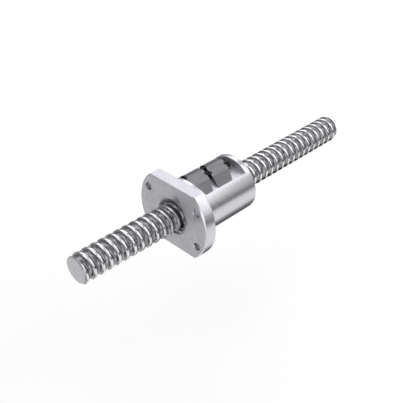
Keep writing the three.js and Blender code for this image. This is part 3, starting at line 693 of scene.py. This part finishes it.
# ---------------------------------------------------------------- cover screws and washers
washer_z = FOOT_Z + SHEET + 0.3
head_z = washer_z + 0.9 + 0.3
for nm, sx, sy in SCREWS:
    # knurled head
    N_K = 96
    rings = []
    for z, r, kn in [(head_z, 3.1, 0), (head_z + 0.12, 3.36, 0), (head_z + 0.35, 3.46, 1), (head_z + 3.0, 3.46, 1), (head_z + 3.3, 3.34, 0), (head_z + 3.52, 3.1, 0), (head_z + 3.6, 2.75, 0)]:
        rings.append([(sx + (r + (0.04 if k % 2 else -0.07) * kn) * math.cos(2 * math.pi * k / N_K), sy + (r + (0.04 if k % 2 else -0.07) * kn) * math.sin(2 * math.pi * k / N_K), z) for k in range(N_K)])
    head = sweep("cover_screw_%s_fine" % nm, rings)
    th = [(19.5, 0), (19.5, 1.2), (19.9, 1.65)]
    z = 20.0
    while z < 25.0:
        th += [(z + 0.2, 1.4), (z + 0.45, 1.65)]
        z += 0.5
    th += [(head_z - 0.6, 1.62), (head_z + 0.6, 1.62), (head_z + 0.6, 0)]
    shank = lathe("shank", th, 32, about=(sx, sy))
    boolean(head, "UNION", [shank])
    sock = prism("sock", disc_pts(sx, sy, hexr, 6, 0.3), "z", head_z + 1.6, head_z + 6)
    lead = lathe("lead", [(head_z + 3.25, 0), (head_z + 3.25, 1.45), (head_z + 3.8, 2.0), (head_z + 3.8, 0)], 36, about=(sx, sy))
    boolean(head, "DIFFERENCE", [sock, lead])
    paint(head, M_BLACK)
    tidy(head, 30)
    # split spring washer, one turn with a slight rise
    rows = []
    steps = 72
    for i in range(steps + 1):
        u = i / steps
        a = math.radians(8 + 344 * u)
        z0 = washer_z + 0.02 + 0.10 * u
        c, s = math.cos(a), math.sin(a)
        sec = [(2.15, 0.05), (2.2, 0), (3.3, 0), (3.38, 0.08), (3.38, 0.66), (3.3, 0.74), (2.2, 0.74), (2.15, 0.69)]
        rows.append([(sx + r * c, sy + r * s, z0 + dz) for r, dz in sec])
    wa = sweep("cover_washer_%s_fine" % nm, rows)
    paint(wa, M_SPRING)
    tidy(wa, 30)

# ---------------------------------------------------------------- riding, replacing
CARRIAGE = ("wiper_seal_front", "wiper_seal_rear")
for node in list(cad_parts):
    ob = bpy.data.objects[node + "_fine"]
    body = "screw" if node == "screw_shaft" else "carriage" if node in CARRIAGE else "nut"
    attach(ob, body)
    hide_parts(node)

# ---------------------------------------------------------------- floor, light, camera
FLOOR = -0.16
fm, fnt, fb = new_mat("floor_pale")
N, L = fnt.nodes, fnt.links
fb.inputs["Base Color"].default_value = (0.45, 0.45, 0.45, 1)
fb.inputs["Roughness"].default_value = 0.9
fb.inputs["Specular IOR Level"].default_value = 0.1
fb.inputs["Emission Color"].default_value = (1, 1, 1, 1)
fb.inputs["Emission Strength"].default_value = 0.62
bm = bmesh.new()
bmesh.ops.create_circle(bm, cap_ends=True, segments=96, radius=7.0)
fme = bpy.data.meshes.new("floor")
bm.to_mesh(fme)
bm.free()
floor = bpy.data.objects.new("floor", fme)
bpy.context.scene.collection.objects.link(floor)
floor.location = (0, 0, FLOOR)
fme.materials.append(fm)


def area(name, loc, target, size, power, color=(1, 1, 1), size_y=None):
    d = bpy.data.lights.new(name, "AREA")
    d.energy = power
    d.color = color
    d.size = size
    if size_y:
        d.shape = "RECTANGLE"
        d.size_y = size_y
    o = bpy.data.objects.new(name, d)
    bpy.context.scene.collection.objects.link(o)
    o.location = loc
    o.rotation_euler = (Vector(target) - Vector(loc)).to_track_quat("-Z", "Y").to_euler()
    return o


# Each softbox is given by the brightness of its face.
def softbox(name, loc, size, glow, size_y=None, color=(1, 1, 1)):
    return area(name, loc, (0, 0, 0), size, glow * math.pi * size * (size_y or size), color, size_y or size)


softbox("key_back", (1.05, 1.1, 1.15), 1.5, 1.32, 1.3)
softbox("top_soft", (-0.2, 0.1, 1.8), 1.3, 1.0)
softbox("side_soft", (1.05, -0.72, 1.05), 1.25, 1.3, 1.1)
softbox("side_low", (0.93, -1.27, 0.42), 0.95, 1.0, 0.5)
softbox("front_fill", (-1.1, -0.95, 0.02), 0.9, 1.6, 0.5)


# Dark cards that only mirror-like surfaces see: the unlit studio floor behind the object and off to its right.
def dark_card(name, pts):
    me = bpy.data.meshes.new(name)
    me.from_pydata(pts, [], [tuple(range(len(pts)))])
    m, nt, b = new_mat(name + "_black")
    b.inputs["Base Color"].default_value = (0.012, 0.012, 0.014, 1)
    b.inputs["Roughness"].default_value = 0.9
    b.inputs["Specular IOR Level"].default_value = 0.05
    me.materials.append(m)
    o = bpy.data.objects.new(name, me)
    bpy.context.scene.collection.objects.link(o)
    o.visible_camera = False
    o.visible_diffuse = False
    o.visible_shadow = False
    return o


dark_card("card_behind", [(-0.06, -0.045, -0.15), (1.0, -0.045, -0.15), (1.0, 1.3, -0.15), (-0.06, 1.3, -0.15)])
dark_card("card_front", [(-0.45, -0.20, -0.15), (-0.27, -0.20, -0.15), (-0.215, -0.14, -0.15), (-0.155, -0.085, -0.15), (-0.15, -0.045, -0.15), (-0.45, -0.045, -0.15)])
dark_card("card_right", [(0.02, -0.62, -0.155), (0.72, -0.12, -0.155), (0.72, -0.12, -0.03), (0.02, -0.62, -0.03)])

w = bpy.data.worlds.new("studio")
bpy.context.scene.world = w
w.use_nodes = True
N, L = w.node_tree.nodes, w.node_tree.links
N.clear()
tc = N.new("ShaderNodeTexCoord")
sp = N.new("ShaderNodeSeparateXYZ")
L.new(tc.outputs["Generated"], sp.inputs["Vector"])
rmp = N.new("ShaderNodeValToRGB")
cr = rmp.color_ramp
cr.elements[0].position = 0.0
cr.elements[0].color = (0.55, 0.55, 0.56, 1)
cr.elements[1].position = 1.0
cr.elements[1].color = (0.62, 0.62, 0.64, 1)
for pos, v in ((0.46, 0.36), (0.51, 0.30), (0.60, 0.32), (0.72, 0.42)):
    el = cr.elements.new(pos)
    el.color = (v, v, v * 1.03, 1)
mr = N.new("ShaderNodeMapRange")
mr.inputs["From Min"].default_value = -1
mr.inputs["From Max"].default_value = 1
L.new(sp.outputs["Z"], mr.inputs["Value"])
L.new(mr.outputs["Result"], rmp.inputs["Fac"])
bg = N.new("ShaderNodeBackground")
bg.inputs["Strength"].default_value = 1.0
L.new(rmp.outputs["Color"], bg.inputs["Color"])
bg2 = N.new("ShaderNodeBackground")
bg2.inputs["Color"].default_value = (0.97, 0.97, 0.97, 1)
lp = N.new("ShaderNodeLightPath")
mix = N.new("ShaderNodeMixShader")
L.new(lp.outputs["Is Camera Ray"], mix.inputs["Fac"])
L.new(bg.outputs["Background"], mix.inputs[1])
L.new(bg2.outputs["Background"], mix.inputs[2])
out = N.new("ShaderNodeOutputWorld")
L.new(mix.outputs["Shader"], out.inputs["Surface"])

cam_d = bpy.data.cameras.new("camera")
cam_d.sensor_width = 36
cam_d.lens = 679.866 / 403 * 36
cam_d.clip_start = 0.01
cam_d.clip_end = 50
cam = bpy.data.objects.new("camera", cam_d)
bpy.context.scene.collection.objects.link(cam)
right = Vector((0.7104812, -0.7036286, -0.0111023))
down = Vector((-0.4056964, -0.3966547, -0.8234535))
fwd = Vector((0.5750016, 0.5895524, -0.5672752))
mat = Matrix((( right.x, -down.x, -fwd.x), (right.y, -down.y, -fwd.y), (right.z, -down.z, -fwd.z)))
cam.matrix_world = Matrix.Translation(Vector((-0.46255, -0.44346, 0.42397))) @ mat.to_4x4()
bpy.context.scene.camera = cam
bpy.context.scene.view_settings.view_transform = "Standard"
bpy.context.scene.view_settings.look = "None"
